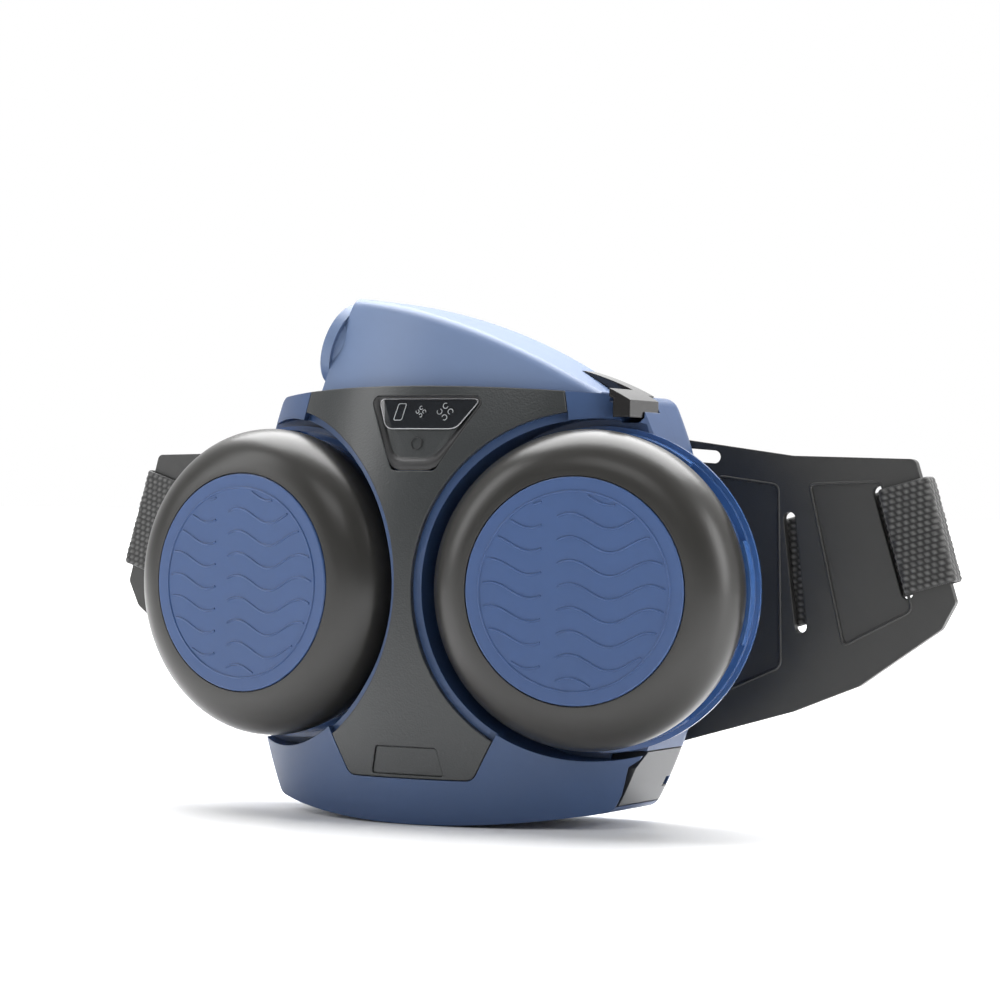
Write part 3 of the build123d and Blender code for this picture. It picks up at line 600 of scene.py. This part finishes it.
# %% Fan marks
def fan_tree():
    tree, given, result = geometry_tree("fan_mark", [
        ("Blades", "NodeSocketInt", 4), ("Size", "NodeSocketFloat", 2.0 * MM),
        ("Line Width", "NodeSocketFloat", 0.14 * MM), ("Finish", "NodeSocketMaterial", None)])
    link = tree.links.new
    blade = node(tree, "GeometryNodeCurveArc", -900, 0)
    blade.inputs["Resolution"].default_value = 14
    blade.inputs["Start Angle"].default_value = radians(-25)
    blade.inputs["Sweep Angle"].default_value = radians(285)
    link(sum_of(tree, "MULTIPLY", given.outputs["Size"], 0.30), blade.inputs["Radius"])
    shift = node(tree, "GeometryNodeTransform", -650)
    away = node(tree, "ShaderNodeCombineXYZ")
    link(sum_of(tree, "MULTIPLY", given.outputs["Size"], 0.66), away.inputs["X"])
    link(blade.outputs["Curve"], shift.inputs["Geometry"])
    link(away.outputs[0], shift.inputs["Translation"])
    spots = node(tree, "GeometryNodePoints", -650, 250)
    link(given.outputs["Blades"], spots.inputs["Count"])
    turn_each = sum_of(tree, "MULTIPLY", sum_of(tree, "DIVIDE", 2 * pi, given.outputs["Blades"]),
                       node(tree, "GeometryNodeInputIndex").outputs[0])
    spin = node(tree, "ShaderNodeCombineXYZ")
    link(turn_each, spin.inputs["Z"])
    spread = node(tree, "GeometryNodeInstanceOnPoints", -350)
    link(spots.outputs[0], spread.inputs["Points"])
    link(shift.outputs["Geometry"], spread.inputs["Instance"])
    link(spin.outputs[0], spread.inputs["Rotation"])
    real = node(tree, "GeometryNodeRealizeInstances", -100)
    link(spread.outputs["Instances"], real.inputs["Geometry"])
    section = node(tree, "GeometryNodeCurvePrimitiveCircle", -100, -250)
    section.inputs["Resolution"].default_value = 6
    link(given.outputs["Line Width"], section.inputs["Radius"])
    tube = node(tree, "GeometryNodeCurveToMesh", 150)
    link(real.outputs["Geometry"], tube.inputs["Curve"])
    link(section.outputs["Curve"], tube.inputs["Profile Curve"])
    tube.inputs["Fill Caps"].default_value = True
    again = node(tree, "GeometryNodeRealizeInstances", 400)
    link(tube.outputs["Mesh"], again.inputs["Geometry"])
    paint = node(tree, "GeometryNodeSetMaterial", 650)
    link(again.outputs["Geometry"], paint.inputs["Geometry"])
    link(given.outputs["Finish"], paint.inputs["Material"])
    link(paint.outputs["Geometry"], result.inputs[0])
    return tree


def laid_on_cover(mesh, x, z, deep):
    """Carries a mesh drawn flat in X and Y to the cover's bow at a place."""
    for vertex in mesh.vertices:
        flat = vertex.co / MM
        vertex.co = on_cover(x + flat.x, z + flat.y, deep - flat.z)


fans = fan_tree()
for name, size, x, z in (("small_fan_mark", 2.0, 1.9, 61.4), ("large_fan_mark", 3.1, 11.2, 61.4)):
    mark = grown(name, fans, Size=size * MM, Finish=finish["mark_grey"])
    laid_on_cover(mark.data, x, z, 1.6)
    smooth(mark.data)
    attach(mark, "root")

# %% Battery mark and a plain ring
battery_v = [(-9.0, 58.4), (-5.6, 58.4), (-4.2, 64.2), (-7.4, 64.2)]
battery_mark = bead_piece("battery_mark", [[on_cover(p[0], p[1], 1.6) for p in rounded(battery_v, 0.6, 3)]],
                          0.14, finish["mark_grey"])
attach(battery_mark, "root")
ring_v = [(1.0 + 2.1 * cos(2 * pi * k / 40), 50.2 + 2.1 * sin(2 * pi * k / 40)) for k in range(40)]
floor_ring = bead_piece("display_floor_ring", [[on_cover(x, z, 2.35) for x, z in ring_v]], 0.2,
                        finish["part_black"])
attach(floor_ring, "root")

# %% [markdown]
# ## The belt's panels
# Each wing of the belt plate has two shallow panels with a soft raised border, which stiffens
# the sheet. The recess is part of the plate; the border is a bead along it that catches light.

# %% Panel borders
flat_half, wing_round, plate, wing_end = 60.0, 684.0, 3.0, 165.0
from_end = {
    "outer": [(45.2, 37.8), (19.2, 39.1), (7.8, -6.2), (32.2, -19.2)],
    "inner": [(79.5, 40.4), (56.6, 37.4), (55, -27.2), (75.3, -36.3)]}
panel_places = {name: [(wing_end - x, z) for x, z in corners] for name, corners in from_end.items()}


def wing_front(x, z, out=0.0):
    """A place on the wing's front face, in metres; x may be on either side."""
    past = max(abs(x) - flat_half, 0)
    return Vector((x, wing_round - sqrt(wing_round ** 2 - past ** 2) - plate - out, z)) * MM


def filled(points, gap=2.0):
    """More points along an outline, so that it can follow a curved face."""
    result = []
    for k, start in enumerate(points):
        end = points[(k + 1) % len(points)]
        steps = max(1, int((end - start).length / gap))
        result += [start.lerp(end, j / steps) for j in range(steps)]
    return result


for side, sign in (("right", 1), ("left", -1)):
    loops = []
    for corners in panel_places.values():
        line = filled(rounded(corners, 2.5))
        loops.append([wing_front(sign * p[0], p[1], -0.25) for p in line])
    border = bead_piece(f"{side}_panel_borders", loops, 0.6, finish["belt_black"])
    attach(border, "root")
    print(border.name, len(border.data.polygons), "faces")

# %% [markdown]
# ## The webbing
# A strap of black webbing goes through the slot at each wing's end, round the end bar and back
# behind the wing. Webbing is flat and stiff across its width, so it is modelled straight from
# its path rather than by cloth simulation. The thick yarns are real relief: every point of the
# fine grid is lifted by a basket pattern. Finer threads and the sheen come from the material.

# %% Webbing path
strap_lean, strap_z, end_bar = radians(16.5), 22.0, 15.5
web_wide, web_thick, web_tail, yarn_rise = 38.0, 1.4, 50.0, 0.36
slot_x = wing_end - end_bar * cos(strap_lean)


def wing_y(along):
    return (slot_x + along * cos(strap_lean) - flat_half) ** 2 / (2 * wing_round)


def strap_path():
    """Places along the strap and across the unit, from the tail to the tail."""
    lift, web, end = 1.95, 1.7, end_bar + 2.2
    corners = [(-web_tail, wing_y(-web_tail) + lift), (-web_tail / 2, wing_y(-web_tail / 2) + lift),
               (-0.8, wing_y(0) + lift), (0.8, wing_y(0) - plate - lift),
               (end, wing_y(end) - plate - lift), (end, wing_y(end) + lift + web),
               (0, wing_y(0) + lift + web + 0.5), (-web_tail, wing_y(-web_tail) + lift + web + 0.5)]
    line = [Vector(corners[0])]
    for k in range(1, len(corners) - 1):
        here, before, after = Vector(corners[k]), Vector(corners[k - 1]), Vector(corners[k + 1])
        reach = min(1.6, (before - here).length * 0.45, (after - here).length * 0.45)
        start = here + (before - here).normalized() * reach
        end_point = here + (after - here).normalized() * reach
        for t in (0, 0.25, 0.5, 0.75, 1):
            line.append(start * (1 - t) ** 2 + here * 2 * t * (1 - t) + end_point * t * t)
    return line + [Vector(corners[-1])]


def evenly(line, gap):
    """The same line with points at even distances."""
    lengths = [0.0]
    for a, b in zip(line, line[1:]):
        lengths.append(lengths[-1] + (b - a).length)
    count = int(lengths[-1] / gap)
    result, k = [], 0
    for step in range(count + 1):
        want = lengths[-1] * step / count
        while k < len(line) - 2 and lengths[k + 1] < want:
            k += 1
        part = (want - lengths[k]) / max(lengths[k + 1] - lengths[k], 1e-9)
        result.append(line[k].lerp(line[k + 1], part))
    return result, lengths[-1]


web_line, web_length = evenly(strap_path(), 0.42)
print("webbing length", round(web_length, 1), "mm,", len(web_line), "points")


# %% Weave
def basket(u, v):
    """The weave at u along and v across: 0 in the gaps, 1 on the crown of a yarn."""
    long_pitch, cross_pitch = 2.6, 2.1
    row = int(v // cross_pitch)
    shift = 0.5 * long_pitch * (row % 2) + 0.35 * v
    along_wave = abs(sin(pi * (u + shift) / long_pitch))
    cross_wave = abs(sin(pi * v / cross_pitch))
    return along_wave ** 0.8 * cross_wave ** 0.6


def webbing_material():
    """Black polyester: fine threads on the strap's own map, a faint sheen, and painted light on the yarn
    crowns with painted shade in the gaps.
    """
    material = plain_material("webbing_black", (0.012, 0.012, 0.012), 0.5)
    tree = material.node_tree
    shader = tree.nodes["Principled BSDF"]
    shader.inputs["Sheen Weight"].default_value = 0.25
    shader.inputs["Sheen Roughness"].default_value = 0.4
    where = node(tree, "ShaderNodeUVMap", -900, 0, uv_map="UVMap")
    thread = node(tree, "ShaderNodeTexWave", -650, -200, bands_direction="DIAGONAL")
    thread.inputs["Scale"].default_value = 900.0
    thread.inputs["Distortion"].default_value = 0.6
    tree.links.new(where.outputs["UV"], thread.inputs["Vector"])
    spots = node(tree, "ShaderNodeTexNoise", -650, 100)
    spots.inputs["Scale"].default_value = 700.0
    tree.links.new(where.outputs["UV"], spots.inputs["Vector"])
    crown = node(tree, "ShaderNodeAttribute", -650, 350, attribute_name="yarn")
    # Painted light and shade: the colour follows the yarn height, lighter on the crowns and darker in the
    # gaps, broken up by a fine noise.
    weave_painted_light = sum_of(tree, "MULTIPLY", crown.outputs["Fac"], sum_of(tree, "ADD", spots.outputs["Fac"], 0.5))
    shade = node(tree, "ShaderNodeMix", -300, 200, data_type="RGBA")
    shade.inputs["A"].default_value = (0.003, 0.003, 0.003, 1)
    shade.inputs["B"].default_value = (0.10, 0.10, 0.097, 1)
    tree.links.new(sum_of(tree, "POWER", weave_painted_light, 1.8), shade.inputs["Factor"])
    tree.links.new(shade.outputs["Result"], shader.inputs["Base Color"])
    bump = node(tree, "ShaderNodeBump", -300, -250)
    bump.inputs["Distance"].default_value = 0.06 * MM
    tree.links.new(thread.outputs["Fac"], bump.inputs["Height"])
    tree.links.new(bump.outputs["Normal"], shader.inputs["Normal"])
    return material


finish["webbing_black"] = webbing_material()


def strap_mesh(name, sign):
    """The strap as a closed band: two woven faces, two edges and two cut ends."""
    columns = int(web_wide / 0.42)
    points, faces, places, crowns = [], [], [], []
    for k, spot in enumerate(web_line):
        before, after = web_line[max(k - 1, 0)], web_line[min(k + 1, len(web_line) - 1)]
        way = (after - before).normalized()
        out = Vector((-way.y, way.x))
        along = k * web_length / (len(web_line) - 1)
        for side in (1, -1):
            for j in range(columns + 1):
                column = j if side > 0 else columns - j
                v = web_wide * (column / columns - 0.5)
                edge = min(1.0, (web_wide / 2 - abs(v)) / 0.9)
                yarn = basket(along, v) * edge
                height = side * (web_thick / 2 * (0.45 + 0.55 * sqrt(edge)) + yarn_rise * (yarn - 0.5))
                u, y = spot + out * height
                x = slot_x + u * cos(strap_lean) - v * sin(strap_lean)
                z = strap_z - end_bar * sin(strap_lean) + u * sin(strap_lean) + v * cos(strap_lean)
                points.append(Vector((sign * x, y, z)) * MM)
                places.append((along * MM, (v + side * 60) * MM))
                crowns.append(yarn)
    ring = 2 * (columns + 1)
    for k in range(len(web_line) - 1):
        for j in range(ring):
            n = (j + 1) % ring
            quad = (k * ring + j, k * ring + n, (k + 1) * ring + n, (k + 1) * ring + j)
            faces.append(quad)
    last = (len(web_line) - 1) * ring
    for j in range(columns):
        faces.append((j, ring - 1 - j, ring - 2 - j, j + 1)[::-1])
        faces.append((last + j, last + ring - 1 - j, last + ring - 2 - j, last + j + 1))
    mesh = bpy.data.meshes.new(name)
    mesh.from_pydata(points, [], faces)
    # The yarn height is also kept for the material, which paints light on the crowns and shade in the gaps.
    mesh.attributes.new("yarn", "FLOAT", "POINT").data.foreach_set("value", crowns)
    layer = mesh.uv_layers.new(name="UVMap")
    for loop in mesh.loops:
        layer.data[loop.index].uv = places[loop.vertex_index]
    shape = bmesh.new()
    shape.from_mesh(mesh)
    bmesh.ops.recalc_face_normals(shape, faces=shape.faces)
    shape.to_mesh(mesh)
    shape.free()
    smooth(mesh)
    return mesh


for side, sign in (("right", 1), ("left", -1)):
    strap = plain_piece(f"{side}_strap", strap_mesh(f"{side}_strap", sign), finish["webbing_black"])
    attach(strap, "root")
    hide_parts(f"{side}_webbing")
    print(strap.name, len(strap.data.polygons), "faces")
